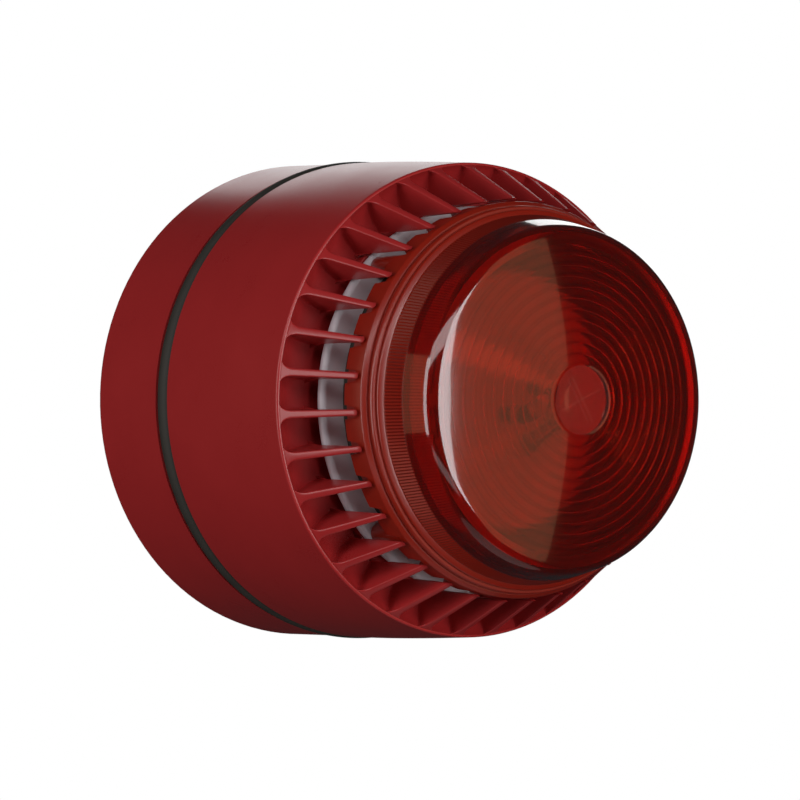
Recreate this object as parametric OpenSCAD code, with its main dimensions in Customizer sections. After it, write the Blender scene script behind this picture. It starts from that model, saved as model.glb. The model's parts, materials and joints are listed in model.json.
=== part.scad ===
// Round wall horn strobe: a deep base, a twist-on sounder head and a red beacon lens.
// Every piece is drawn with the wall at z = 0 and the lens facing +Z, and face_front() then
// turns it so that the wall is the plane y = 0, the lens faces -Y and +Z is up.

/* [Base] */
// Outside diameter at the wall
base_d = 100; // [96:1:120]
// Depth from the wall to the gasket
base_depth = 22; // [18:0.5:30]
// Wall thickness of the base side
base_wall = 3; // [2.6:0.1:4]
// Thickness of the base floor
base_floor = 3; // [2:0.1:4]
// How far the base side leans in over its depth
base_lean = 1.4; // [0:0.1:2]
// Height of the ring that the head twists onto, past the gasket's front
spigot_rise = 7; // [7:0.5:9]
// Wall thickness of that ring
spigot_wall = 2.4; // [2:0.1:3]

/* [Fixings] */
// Distance between the two side fixing slots
side_fix_span = 60.3; // [56:0.1:66]
// Distance between the upper and lower fixing slots
upright_fix_span = 50.8; // [46:0.1:56]
// Width of a fixing slot
fix_slot_w = 4.5; // [4:0.1:5.5]
// Length of a fixing slot
fix_slot_l = 10; // [8:0.5:12]
// Hole in the floor for the cable grommet
grommet_hole_d = 20; // [16:0.5:24]
// Hole through the grommet for the cable
cable_d = 8; // [6:0.5:10]

/* [Gasket] */
// Thickness of the gasket between base and head
gasket_t = 4; // [3:0.25:6]
// How far the gasket stands out past the base
gasket_proud = 0.25; // [0:0.05:0.5]

/* [Head] */
// Height of the head's side, from the gasket to the lip
head_h = 35; // [33:0.5:45]
// Wall thickness of the head
head_wall = 2.5; // [2:0.1:3]
// How far the head's side leans in over its height
head_lean = 3; // [1:0.1:4]
// Height of the fins past the lip
fin_rise = 15; // [13:0.5:18]
// Distance that the fins reach in from the lip
fin_reach = 8.1; // [7:0.1:9]
// Number of fins
fin_count = 36; // [24:1:40]
// Thickness of a fin at the lip
fin_outer_t = 1.5; // [1.2:0.1:2]
// Thickness of a fin at the lens
fin_inner_t = 1.1; // [0.9:0.1:1.6]
// Angle of the first fin
fin_phase = 3.4; // [0:0.1:10]
// Radius of the pocket corners between fin and lip
pocket_corner = 1.4; // [1:0.1:2]
// Radius of the scooped pocket floor
scoop_r = 6; // [5:0.25:8]
// Thickness of the sound floor
floor_t = 2.2; // [1.8:0.1:3]

/* [Twist lock] */
// Number of lugs
lug_count = 4; // [3:1:6]
// Width of a lug, in degrees
lug_turn = 8; // [6:1:12]
// Turn from locked to free, in degrees
twist = 20; // [15:1:25]
// Height of a lug
lug_h = 2.4; // [2:0.1:3]

/* [Horn plate] */
// Height of the sound slot under the plate
slot_h = 2.5; // [2:0.1:5]
// Thickness of the plate
plate_t = 2.2; // [1.8:0.1:3]
// Gap between the plate's rim and the fins
rim_gap = 0.6; // [0.4:0.1:1]

/* [Lens] */
// Height of the lens from the fin ends to its crown
lens_h = 17; // [15:0.5:20]
// Height of the lens wall from the fin ends
lens_wall_h = 13; // [11:0.1:14]
// Lean of the lens wall over its height
lens_lean = 2.6; // [1:0.1:4]
// Wall thickness of the lens
lens_t = 2; // [1.6:0.1:2.6]
// Number of rings moulded inside the crown
lens_rings = 11; // [6:1:14]
// Depth of those rings
ring_depth = 0.7; // [0.3:0.1:1]
// Radius of the plain disc at the crown's middle
lens_eye_r = 6.4; // [5:0.1:8]
// Radius of the rounded lens corner
lens_corner = 3.2; // [2:0.1:3.8]
// Height of the skirt's castellations
tooth_h = 3.3; // [2:0.1:4]
// Gap between two castellations
tooth_gap = 2.2; // [1.6:0.1:3]

/* [Sounder] */
// Radius of the sound hole behind the horn plate
throat_r = 18; // [15:0.5:19]
// Radius of the sounder's brass disc
disc_r = 21; // [19.5:0.5:22]
// Thickness of the brass disc
disc_t = 0.3; // [0.2:0.05:0.5]
// Depth of the chamber behind the disc
chamber_h = 6; // [5:0.5:7]

/* [Boards and terminals] */
// Thickness of the main board
board_t = 1.6; // [1.2:0.2:2]
// Thickness of the rear cover
cover_t = 2; // [1.6:0.1:3]
// Thickness of the beacon board
beacon_board_t = 1.2; // [1:0.2:1.6]
// Number of terminals
terminal_count = 4; // [2:1:4]
// Distance from one terminal to the next
terminal_pitch = 6; // [5:0.25:6.5]
// Travel of a switch slider
switch_travel = 1.6; // [1:0.1:1.8]
// Radius of the volume control's rotor
rotor_r = 2.95; // [2:0.05:3.2]
// Height of the flash tube above its board
tube_h = 13; // [10:0.5:14]

/* [Fits] */
// Gap between pieces that move past each other
run_gap = 0.3; // [0.2:0.05:0.5]
// Gap around a turning rotor and a sliding switch
fine_gap = 0.05; // [0.03:0.01:0.1]
// Gap between the gasket and the head's rim
seal_gap = 0.1; // [0.05:0.05:0.2]
// Gap around a screw or pin in its hole
screw_gap = 0.15; // [0.1:0.05:0.3]

/* [Hidden] */
$fn = 96;
eps = 0.01;

// Outside radii, from the wall forwards
base_r = base_d / 2;
base_front_r = base_r - base_lean;
head_back_r = base_front_r - 0.2;
lip_r = head_back_r - head_lean;
fin_end_r = lip_r - fin_reach;

// Planes along the axis, from the wall forwards
gasket_z = base_depth;
head_z = gasket_z + gasket_t;
lip_z = head_z + head_h;
fin_end_z = lip_z + fin_rise;
spigot_z = head_z + spigot_rise;
cover_z = spigot_z + 1.4;
board_z = cover_z + cover_t + 3.6;
board_top = board_z + board_t;

// The lip's rounding and the pocket's scoop
lip_round = 0.8;
edge_r = lip_r - lip_round;
edge_z = lip_z + lip_round;
floor_z = edge_z - 2.85;
floor_under = floor_z - floor_t;
scoop_in = sqrt(pow(scoop_r, 2) - pow(scoop_r - (edge_z - floor_z), 2));
scoop_r0 = edge_r - scoop_in;

// Twist lock
spigot_r = head_back_r - head_wall - 1.3;
spigot_in_r = spigot_r - spigot_wall;
lug_z = head_z + 1.8;
lug_in_r = spigot_in_r + 0.4;
lug_step = 360 / lug_count;
lug_phase = 20;

// Screws
screw_r = 1.25;
screw_head_r = 2.5;
screw_head_t = 1.6;
screw_hole_r = screw_r + screw_gap;

// Horn plate and lens
plate_z = floor_z + slot_h;
plate_top = plate_z + plate_t;
rim_r = scoop_r0 - 2.5;
fin_foot_r = rim_r + rim_gap;
skirt_r = fin_end_r - 0.4;
skirt_t = 1.5;
skirt_z = fin_end_z - 5;
lens_base_r = skirt_r - 2.7;
lens_base_z = fin_end_z + 3.4;
crown_z = fin_end_z + lens_h;
corner_z = fin_end_z + lens_wall_h;
corner_r = lens_base_r - lens_lean;
tube_out_r = lens_base_r - 1.8;
tube_in_r = tube_out_r - 1.6;
boss_r = 1.9;
boss_at = skirt_r - 2.3;
seal_h = 1.2;
pillar_r = 2.6;
lens_screw_count = 4;
lens_screw_phase = 45;

// The crown is a shallow dome through the corner and the crown's middle
dome_drop = crown_z - corner_z - 0.8;
dome_r = (pow(corner_r, 2) + pow(dome_drop, 2)) / (2 * dome_drop);
function dome_z(r) = crown_z - dome_r + sqrt(pow(dome_r, 2) - pow(r, 2));

// Boards, bosses and terminals
wall_in_r = lip_r - head_wall;
boss_ring = wall_in_r - 4;
board_boss_r = 3;
board_r = lip_r - head_wall + 0.9;
cover_r = board_r + 0.9;
pin_r = 0.5;
pin_at = 26;
pin_turns = [80, 90, 100];
beacon_r = tube_in_r - 2.4;
beacon_z = plate_top + 1.8;
beacon_top = beacon_z + beacon_board_t;
beacon_boss_at = 20;
beacon_screw_count = 3;
beacon_screw_phase = 30;
beacon_screw_r = 1;
beacon_screw_hole_r = beacon_screw_r + screw_gap;
terminal_turn = -45;
terminal_at = 15;
block_z = base_depth - 6;
block_h = 12;
block_top = block_z + block_h;
block_l = terminal_count * terminal_pitch + 1;
block_back = -8.5;
block_front = 3;
screw_line = -4.6;
spring_w = 2.4;
spring_t = 0.4;
pad_t = 0.25;
spring_tip = board_z - pad_t - run_gap;
switch_count = 5;
switch_at = [-21, 12];
switch_pitch = 2.54;
switch_z = board_z - 3.4;
slider_w = 1.6;
slider_l = 1.8;
slider_slot_l = slider_l + switch_travel + 0.2;
volume_at = [-20, -12];
volume_z = board_z - 3;
tube_r = 2.1;
tube_bend = 4.6;

module face_front() { rotate([90, 0, 0]) children(); }

// A ring of rectangular section
module ring(r_out, r_in, z0, z1) {
    rotate_extrude() translate([r_in, z0]) square([r_out - r_in, z1 - z0]);
}

// The same, over part of a turn centred on an angle
module ring_part(r_out, r_in, z0, z1, mid, turn) {
    rotate([0, 0, mid - turn / 2]) rotate_extrude(angle = turn)
        translate([r_in, z0]) square([r_out - r_in, z1 - z0]);
}

module rod(r, z0, z1) { translate([0, 0, z0]) cylinder(r = r, h = z1 - z0); }

module block(size, at) { translate([at[0] - size[0] / 2, at[1] - size[1] / 2, at[2]]) cube(size); }

// Places children round a circle
module around(count, r, phase = 0) {
    for (i = [0:count - 1]) rotate([0, 0, phase + i * 360 / count]) translate([r, 0, 0]) children();
}

// A pan-head screw whose head sits on plane z and whose shank points along +Z
module screw(z, length, r = screw_r, head_r = screw_head_r, head_t = screw_head_t) {
    difference() {
        union() {
            rod(head_r, z - head_t, z);
            rod(r, z - eps, z + length);
        }
        for (turn = [0, 90]) rotate([0, 0, turn])
            translate([-head_r * 0.6, -0.3, z - head_t - eps]) cube([head_r * 1.2, 0.6, 0.8]);
    }
}

// Points on an arc, from angle a0 to a1
function arc(c, r, a0, a1, n = 6) =
    [for (i = [0:n]) let (a = a0 + (a1 - a0) * i / n) [c[0] + r * cos(a), c[1] + r * sin(a)]];

// Outside radius of the head's side at height z
function head_r(z) = head_back_r - head_lean * pow((z - head_z) / head_h, 1.25);

// ---------------------------------------------------------------- base

module base_profile() {
    back_round = 1.5;
    web_z = base_depth - 7;
    polygon(concat(
        [[0, 0]],
        arc([base_r - back_round, back_round], back_round, -90, 0),
        [[base_front_r, base_depth], [base_front_r - base_wall - 0.2, base_depth],
         [base_front_r - base_wall, web_z + 3], [spigot_r, web_z + 3], [spigot_r, spigot_z - 0.6],
         [spigot_r - 0.6, spigot_z], [spigot_in_r, spigot_z], [spigot_in_r, web_z],
         [base_front_r - base_wall, web_z], [base_r - base_wall - 0.3, base_floor],
         [0, base_floor]]));
}

// The L-shaped path of a lug: in from the front, then round under the ring's edge
module lug_path() {
    foot = lug_z - run_gap;
    head = lug_z + lug_h + run_gap;
    slack = 1.5;
    entry_slack = 1.2;
    run = lug_turn + twist + 2 * slack;
    entry = lug_turn + 2 * entry_slack;
    ring_part(spigot_r + 0.5, spigot_in_r - 0.5, foot, head, twist / 2, run);
    ring_part(spigot_r + 0.6, spigot_in_r - 0.6, head - 0.5, spigot_z + 1, twist, entry);
}

module fix_slot() {
    reach = fix_slot_l / 2 - fix_slot_w / 2;
    for (x = [-reach, reach]) translate([x, 0, -1]) cylinder(d = fix_slot_w, h = base_floor + 4);
    translate([-reach, -fix_slot_w / 2, -1]) cube([2 * reach, fix_slot_w, base_floor + 4]);
}

module fix_slots() {
    for (side = [-1, 1]) {
        translate([side * side_fix_span / 2, 0, 0]) fix_slot();
        translate([0, side * upright_fix_span / 2, 0]) rotate([0, 0, 90]) fix_slot();
    }
}

// A raised pad round each slot
module fix_pads() {
    for (side = [-1, 1]) {
        block([fix_slot_l + 4, fix_slot_w + 5, 1.5 + eps], [side * side_fix_span / 2, 0, base_floor - eps]);
        block([fix_slot_w + 5, fix_slot_l + 4, 1.5 + eps], [0, side * upright_fix_span / 2, base_floor - eps]);
    }
}

module rear_base() color("firebrick") face_front() difference() {
    union() {
        rotate_extrude() base_profile();
        fix_pads();
        // pedestals under the terminal block
        rotate([0, 0, terminal_turn]) for (end = [0, 1])
            block([5, block_front - block_back, block_z - base_floor + eps],
                [terminal_at + 0.5 + end * (block_l - 7), (block_front + block_back) / 2, base_floor - eps]);
        // ribs between the floor and the side
        for (i = [0:7]) rotate([0, 0, 22.5 + i * 45])
            translate([spigot_in_r - 2, -0.8, base_floor - eps])
                cube([3.2, 1.6, base_depth - 6 - base_floor]);
    }
    fix_slots();
    rod(grommet_hole_d / 2, -1, base_floor + 1);
    for (i = [0:lug_count - 1]) rotate([0, 0, lug_phase + i * lug_step]) lug_path();
}

module cable_grommet() color("#1c1c1c") face_front() difference() {
    neck = grommet_hole_d / 2;
    rotate_extrude() polygon([[0, 0], [neck, 0], [neck, base_floor], [neck + 2.2, base_floor],
        [neck + 2.2, base_floor + 1.2], [neck - 1, base_floor + 2], [cable_d / 2 + 1.4, base_floor + 3.6],
        [0, base_floor + 3.6]]);
    rod(cable_d / 2, -1, base_floor + 5);
}

module base_gasket() color("#24231f") face_front() {
    top = head_z - seal_gap;
    bulge = gasket_t / 2 + 0.6;
    mid = (gasket_z + top) / 2;
    half = (top - gasket_z) / 2;
    swell = asin(half / bulge);
    rotate_extrude() polygon(concat(
        [[spigot_r + 0.3, gasket_z]],
        arc([base_front_r + gasket_proud - bulge, mid], bulge, -swell, swell, 8),
        [[spigot_r + 0.3, top]]));
}

// ---------------------------------------------------------------- terminals

// Runs children at each terminal, on the radial line that the block follows
module each_terminal() {
    rotate([0, 0, terminal_turn]) for (i = [0:terminal_count - 1])
        translate([terminal_at + i * terminal_pitch, 0, 0]) children();
}

clamp_w = 4.2;
clamp_l = 6;
clamp_h = 5.6;
clamp_z = block_z + 2;

module terminal_block() color("#cfd2cd") face_front() difference() {
    rotate([0, 0, terminal_turn])
        translate([terminal_at - terminal_pitch / 2 - 0.5, block_back, block_z])
            cube([block_l, block_front - block_back, block_h]);
    each_terminal() {
        block([clamp_w + 0.2, clamp_l + 0.2, clamp_h + 0.2], [0, screw_line, clamp_z - 0.1]);
        translate([0, screw_line, 0]) rod(2.1, clamp_z + clamp_h, block_top + 1);
        // wire way into the clamp from the block's back
        translate([0, block_back - 1, clamp_z + 2]) rotate([-90, 0, 0]) cylinder(r = 1.6, h = 3);
        block([spring_w + 0.2, spring_t + 0.2, 4], [0, 0, block_top - 3]);
    }
}

module terminal_clamps() color("#c8a24a") face_front() each_terminal() difference() {
    block([clamp_w, clamp_l, clamp_h], [0, screw_line, clamp_z]);
    block([clamp_w - 1.4, clamp_l + 1, clamp_h - 2.6], [0, screw_line, clamp_z + 0.9]);
    translate([0, screw_line, 0]) rod(1.3, clamp_z + 2, clamp_z + clamp_h + 1);
}

module terminal_screws() color("silver") face_front() each_terminal()
    translate([0, screw_line, 0]) difference() {
        union() {
            rod(1.25, clamp_z + 2.4, clamp_z + clamp_h + 0.6);
            rod(1.9, clamp_z + clamp_h + 0.1, block_top - 1.2);
        }
        translate([-2, -0.3, block_top - 2.2]) cube([4, 0.6, 2]);
    }

// One edge of a bowed leaf, from the block's top to the pad, at half a thickness to one side
spring_bow = 1.5;
spring_steps = 8;
function leaf_edge(side) = [for (i = [0:spring_steps]) let (t = i / spring_steps)
    [spring_bow * sin(180 * t) + side * spring_t / 2, block_top + t * (spring_tip - block_top)]];
function reversed(points) = [for (i = [len(points) - 1:-1:0]) points[i]];

// A bent leaf: a straight foot in the block, then a bow that ends at the pad
module leaf_plan() {
    foot = block_top - 2.8;
    polygon(concat([[-spring_t / 2, foot]], leaf_edge(-1), reversed(leaf_edge(1)), [[spring_t / 2, foot]]));
}

module contact_springs() color("#d8b45c") face_front() each_terminal()
    translate([spring_w / 2, 0, 0]) rotate([90, 0, -90]) linear_extrude(spring_w) leaf_plan();

// ---------------------------------------------------------------- head

module head_profile() {
    steps = 6;
    side_top = lip_z - 0.2;
    under_r = scoop_r0 + 2.4;
    polygon(concat(
        [for (i = [0:steps]) let (z = head_z + (side_top - head_z) * i / steps) [head_r(z), z]],
        arc([edge_r, edge_z - lip_round], lip_round, 5, 90, 4),
        arc([scoop_r0, floor_z + scoop_r], scoop_r, asin((edge_z - floor_z - scoop_r) / scoop_r), -90, 7),
        [[throat_r, floor_z], [throat_r, floor_under], [under_r, floor_under],
         [head_r(floor_under - 1) - head_wall, floor_under - 1.6]],
        [for (i = [steps - 1:-1:0]) let (z = head_z + (floor_under - 4 - head_z) * i / steps)
            [head_r(z) - head_wall, z]]));
}

// The solid that the pockets are cut from, and what is left is the fins
module fin_profile() {
    tip = 0.5;
    foot = floor_z - 0.8;
    lean = atan2(fin_end_z - edge_z, edge_r - fin_end_r);
    polygon(concat(
        [[fin_foot_r, foot], [scoop_r0 + 2, foot], [edge_r + 0.1, edge_z - 1.2], [edge_r, edge_z]],
        arc([fin_end_r + tip, fin_end_z - 1.6 * tip], tip, 90 - lean, 180, 3),
        [[fin_end_r, plate_top + rim_gap], [fin_foot_r, plate_top + rim_gap]]));
}

// Plan of one pocket: a wedge between two fins with rounded outer corners
module pocket_plan() {
    step = 360 / fin_count;
    out_r = edge_r - 0.15;
    half = fin_outer_t / 2;
    side = half + pocket_corner;
    along = sqrt(pow(out_r - pocket_corner, 2) - pow(side, 2));
    in_r = fin_end_r - 3;
    function at(p, turn) = [p[0] * cos(turn) - p[1] * sin(turn), p[0] * sin(turn) + p[1] * cos(turn)];
    centre_a = [along, side];
    centre_b = at([along, -side], step);
    tilt = atan2(side, along);
    polygon([[in_r, fin_inner_t / 2], [along, half],
        centre_a + pocket_corner * [cos(tilt), sin(tilt)],
        centre_b + pocket_corner * [cos(step - tilt), sin(step - tilt)],
        at([along, -half], step), at([in_r, -fin_inner_t / 2], step)]);
    for (c = [centre_a, centre_b]) translate(c) circle(r = pocket_corner);
}

module fins() difference() {
    rotate_extrude() fin_profile();
    for (i = [0:fin_count - 1]) rotate([0, 0, fin_phase + i * 360 / fin_count])
        translate([0, 0, floor_under]) linear_extrude(fin_end_z - floor_under + 1) pocket_plan();
}

driver_ear_at = disc_r + 6;
driver_screw_count = 3;
retainer_t = 2.6;

module head_housing() color("firebrick") face_front() difference() {
    union() {
        rotate_extrude() head_profile();
        fins();
        for (i = [0:lug_count - 1])
            ring_part(head_r(lug_z) - head_wall + 0.4, lug_in_r, lug_z, lug_z + lug_h,
                lug_phase + i * lug_step, lug_turn);
        around(4, boss_ring) rod(board_boss_r, board_top, floor_under + eps);
        around(lens_screw_count, boss_at, lens_screw_phase) rod(pillar_r, floor_z - eps, plate_z);
    }
    around(4, boss_ring) rod(screw_hole_r, board_top - 1, board_top + 10);
    around(lens_screw_count, boss_at, lens_screw_phase) rod(screw_hole_r, floor_under - 1, plate_z + 1);
    around(driver_screw_count, driver_ear_at) rod(screw_hole_r, floor_under - 1, floor_z - 0.5);
    for (turn = pin_turns) rotate([0, 0, turn]) translate([pin_at, 0, 0])
        rod(pin_r + screw_gap, floor_under - 1, floor_z + 1);
}

// ---------------------------------------------------------------- boards and cover

// The window that the contact springs pass through as the head turns
module spring_window(z0, z1) {
    rotate([0, 0, terminal_turn - twist - 9]) rotate_extrude(angle = twist + 18)
        translate([terminal_at - 3, z0]) square([(terminal_count - 1) * terminal_pitch + 6, z1 - z0]);
}

module rear_cover() color("#7d2426") face_front() difference() {
    union() {
        rod(cover_r, cover_z, cover_z + cover_t);
        around(4, boss_ring) rod(board_boss_r, cover_z + eps, board_z);
    }
    around(4, boss_ring) rod(screw_hole_r, cover_z - 1, board_z + 1);
    spring_window(cover_z - 1, cover_z + cover_t + 1);
    block([switch_count * switch_pitch + 6, 12, cover_t + 2], [switch_at[0], switch_at[1], cover_z - 1]);
    translate([volume_at[0], volume_at[1], 0]) rod(rotor_r + 1.6, cover_z - 1, cover_z + cover_t + 1);
}

module cover_screws() color("silver") face_front()
    around(4, boss_ring) screw(cover_z, board_top - cover_z + 8);

module main_board() color("#1f5a35") face_front() difference() {
    rod(board_r, board_z, board_top);
    around(4, boss_ring) rod(screw_hole_r, board_z - 1, board_top + 1);
}

module contact_pads() color("#d9b648") face_front()
    for (i = [0:terminal_count - 1]) let (r = terminal_at + i * terminal_pitch)
        ring_part(r + 1.5, r - 1.5, board_z - pad_t, board_z, terminal_turn, 14);

// Runs children at each switch
module each_switch() {
    for (i = [0:switch_count - 1])
        translate([switch_at[0] + (i - (switch_count - 1) / 2) * switch_pitch, switch_at[1], 0]) children();
}

slot_deep = 1.6;

module switch_body() color("#b3262a") face_front() difference() {
    block([switch_count * switch_pitch + 2.2, 8, board_z - switch_z], [switch_at[0], switch_at[1], switch_z]);
    each_switch() block([slider_w + 2 * fine_gap, slider_slot_l, slot_deep + 1], [0, 0, switch_z - 1]);
}

// Slider i, resting at the low end of its slot
module slider(i) color("#f1efe6") face_front() {
    rest_y = -slider_slot_l / 2 + 0.1 + slider_l / 2;
    x = switch_at[0] + (i - 1 - (switch_count - 1) / 2) * switch_pitch;
    difference() {
        block([slider_w, slider_l, slot_deep + 0.9], [x, switch_at[1] + rest_y, switch_z - 1]);
        block([slider_w + 1, 0.4, 0.4], [x, switch_at[1] + rest_y, switch_z - 1 - eps]);
    }
}
module slider_1() { slider(1); }
module slider_2() { slider(2); }
module slider_3() { slider(3); }
module slider_4() { slider(4); }
module slider_5() { slider(5); }

rotor_deep = 1.5;

module volume_body() color("#2b3d6b") face_front() translate([volume_at[0], volume_at[1], 0]) difference() {
    block([2 * rotor_r + 2.6, 2 * rotor_r + 2.6, board_z - volume_z], [0, 0, volume_z]);
    rod(rotor_r + fine_gap, volume_z - 1, volume_z + rotor_deep);
}

module volume_rotor() color("#e8e4d8") face_front() translate([volume_at[0], volume_at[1], 0]) difference() {
    rod(rotor_r, volume_z - 1.2, volume_z + rotor_deep - fine_gap);
    translate([-rotor_r - 1, -0.4, volume_z - 2]) cube([2 * rotor_r + 2, 0.8, 1.6]);
    translate([0.8, 0.7, volume_z - 2]) cylinder(r = 0.4, h = 1.2, $fn = 24);
}

// A can capacitor: sleeve with a crimp, standing on plane z
module can(r, h, z) {
    rotate_extrude() polygon([[0, z], [r - 0.3, z], [r, z + 0.4], [r, z + 1.2], [r - 0.35, z + 1.6],
        [r, z + 2], [r, z + h - 0.4], [r - 0.4, z + h], [0, z + h]]);
}

module capacitors() color("#23262e") face_front()
    for (turn = [157, 203]) rotate([0, 0, turn]) translate([31, 0, 0]) can(4.5, 10, board_top);

module flash_capacitor() color("#3a3d45") face_front()
    rotate([0, 0, 22]) translate([31, 0, 0]) can(5.2, 12, board_top);

module step_up_coil() color("#9a5a2a") face_front() rotate([0, 0, 60]) translate([13, 0, 0])
    rotate_extrude() polygon([[0, board_top], [5, board_top], [5, board_top + 0.9], [3.8, board_top + 0.9],
        [3.8, board_top + 4.2], [5, board_top + 4.2], [5, board_top + 5.1], [0, board_top + 5.1]]);

module control_chips() color("#18181a") face_front() {
    block([10, 6, 1.6], [-13, -5, board_top]);
    block([7, 5, 1.5], [8, -15, board_top]);
    block([4, 3, 1.2], [-2, 24, board_top]);
}

module small_parts() color("#8c8577") face_front() {
    for (i = [0:4]) block([1.6, 3.2, 0.8], [-18 + i * 3.4, -14, board_top]);
    for (i = [0:3]) block([3.2, 1.6, 0.9], [18, -4 + i * 3, board_top]);
}

// ---------------------------------------------------------------- sounder

driver_z = floor_under - chamber_h - retainer_t;
disc_z = floor_under - 0.3 - disc_t;

module driver_retainer() color("#26282b") face_front() difference() {
    union() {
        rod(disc_r + 3, floor_under - retainer_t, floor_under);
        rod(throat_r + 2.5, driver_z, floor_under);
        around(driver_screw_count, driver_ear_at) rod(3.2, floor_under - retainer_t, floor_under);
        around(driver_screw_count, driver_ear_at - 3) block([6, 6.4, retainer_t], [0, 0, floor_under - retainer_t]);
    }
    rod(disc_r + 0.1, disc_z, floor_under + 1);
    rod(throat_r, driver_z + 1.5, floor_under + 1);
    around(driver_screw_count, driver_ear_at) rod(screw_hole_r, floor_under - 4, floor_under + 1);
    rod(3.5, driver_z - 1, driver_z + 2);
}

module driver_screws() color("silver") face_front()
    around(driver_screw_count, driver_ear_at) screw(floor_under - retainer_t, retainer_t + floor_t - 0.7);

module driver_seal() color("#1d1d1b") face_front() ring(disc_r, throat_r, disc_z + disc_t, floor_under);

module sounder_disc() color("#cda349") face_front() rod(disc_r, disc_z, disc_z + disc_t);

module sounder_ceramic() color("#d9d5ca") face_front() rod(12, disc_z - 0.3, disc_z);

module driver_pins() color("#c9a24b") face_front()
    for (side = [-1, 1]) translate([side * 2, 0, 0]) rod(pin_r, board_top, disc_z - 0.3);

// ---------------------------------------------------------------- horn plate and beacon

module horn_plate() color("#9c9498") face_front() difference() {
    union() {
        rim = plate_t / 2;
        rotate_extrude() polygon(concat(
            [[0, plate_z - 2.2], [3, plate_z - 2], [9, plate_z - 0.6], [13, plate_z]],
            arc([rim_r - rim, plate_z + rim], rim, -90, 90, 8),
            [[0, plate_top]]));
        around(beacon_screw_count, beacon_boss_at, beacon_screw_phase) rod(2.4, plate_top - eps, beacon_z);
    }
    around(lens_screw_count, boss_at, lens_screw_phase) rod(screw_hole_r, plate_z - 1, plate_top + 1);
    around(beacon_screw_count, beacon_boss_at, beacon_screw_phase)
        rod(beacon_screw_hole_r, plate_z + 0.5, beacon_z + 1);
    for (turn = pin_turns) rotate([0, 0, turn]) translate([pin_at, 0, 0])
        rod(pin_r + screw_gap, plate_z - 3, plate_top + 1);
}

module beacon_pins() color("#c9a24b") face_front()
    for (turn = pin_turns) rotate([0, 0, turn]) translate([pin_at, 0, 0])
        rod(pin_r, board_top, beacon_top + 0.8);

module beacon_board() color("#e9e7df") face_front() difference() {
    rod(beacon_r, beacon_z, beacon_top);
    around(beacon_screw_count, beacon_boss_at, beacon_screw_phase)
        rod(beacon_screw_hole_r, beacon_z - 1, beacon_top + 1);
    for (turn = pin_turns) rotate([0, 0, turn]) translate([pin_at, 0, 0])
        rod(pin_r + screw_gap, beacon_z - 1, beacon_top + 1);
}

module beacon_screws() color("silver") face_front()
    around(beacon_screw_count, beacon_boss_at, beacon_screw_phase) mirror([0, 0, 1])
        screw(-beacon_top, beacon_top - plate_z - 0.7, beacon_screw_r, 2 * beacon_screw_r, 1.2);

module reflector() color("#f4f1ea") face_front() rotate_extrude()
    polygon([[13.5, beacon_top], [15, beacon_top], [17, beacon_top + 1.8], [26.2, beacon_top + 6.2],
        [27, beacon_top + 6.2], [27, beacon_top + 7.2], [25.8, beacon_top + 7.2],
        [16.4, beacon_top + 2.8], [13.5, beacon_top + 0.8]]);

tube_turn = 45;

// A glass U that stands on the board
module flash_tube() color("#d6dcdc") face_front() rotate([0, 0, tube_turn]) {
    bend_z = beacon_top + tube_h - tube_bend - tube_r;
    for (side = [-1, 1]) translate([side * tube_bend, 0, 0]) rod(tube_r, beacon_top + 1.5, bend_z);
    translate([0, 0, bend_z]) rotate([90, 0, 0]) rotate_extrude(angle = 180)
        translate([tube_bend, 0]) circle(r = tube_r);
}

module tube_ends() color("silver") face_front() rotate([0, 0, tube_turn])
    for (side = [-1, 1]) translate([side * tube_bend, 0, 0]) rod(tube_r + 0.25, beacon_top, beacon_top + 1.5);

// A bare wire from the coil to a turn round the tube's leg
module trigger_wire() color("#b9b6ae") face_front() rotate([0, 0, tube_turn]) {
    ring_z = beacon_top + 4;
    translate([tube_bend, 0, 0]) ring(tube_r + 0.5, tube_r, ring_z, ring_z + 0.5);
    translate([tube_bend, -tube_r - 0.55, 0]) rod(0.25, beacon_top, ring_z + 0.4);
}

module trigger_coil() color("#5b3a1e") face_front() rotate([0, 0, -62]) translate([9.5, 0, beacon_top + 2.6])
    rotate([90, 0, 0]) translate([0, 0, -4.5]) rotate_extrude()
        polygon([[0, 0], [2.6, 0], [2.6, 1], [2.1, 1], [2.1, 8], [2.6, 8], [2.6, 9], [0, 9]]);

// ---------------------------------------------------------------- lens

// Centre of the rounded corner: inside the leaning wall and under the dome by its radius
wall_lean = atan2(lens_base_r - corner_r, corner_z - lens_base_z);
function corner_at(s) = [lens_base_r - lens_corner * cos(wall_lean) - s * sin(wall_lean),
    lens_base_z - lens_corner * sin(wall_lean) + s * cos(wall_lean)];
corner_b = corner_at(0)[0] * sin(wall_lean) - (corner_at(0)[1] - crown_z + dome_r) * cos(wall_lean);
corner_c = pow(corner_at(0)[0], 2) + pow(corner_at(0)[1] - crown_z + dome_r, 2)
    - pow(dome_r - lens_corner, 2);
corner_mid = corner_at(corner_b + sqrt(pow(corner_b, 2) - corner_c));
dome_turn = atan2(corner_mid[1] - crown_z + dome_r, corner_mid[0]);

// Teeth moulded inside the crown, from the eye to the corner
ring_edge = corner_mid[0] - 0.6;
ring_step = (ring_edge - lens_eye_r) / lens_rings;
function ring_points() = [for (i = [0:lens_rings - 1]) let (a = lens_eye_r + i * ring_step)
    for (p = [[a, 0], [a + ring_step, ring_depth]]) [p[0], dome_z(p[0]) - lens_t - p[1]]];

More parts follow.
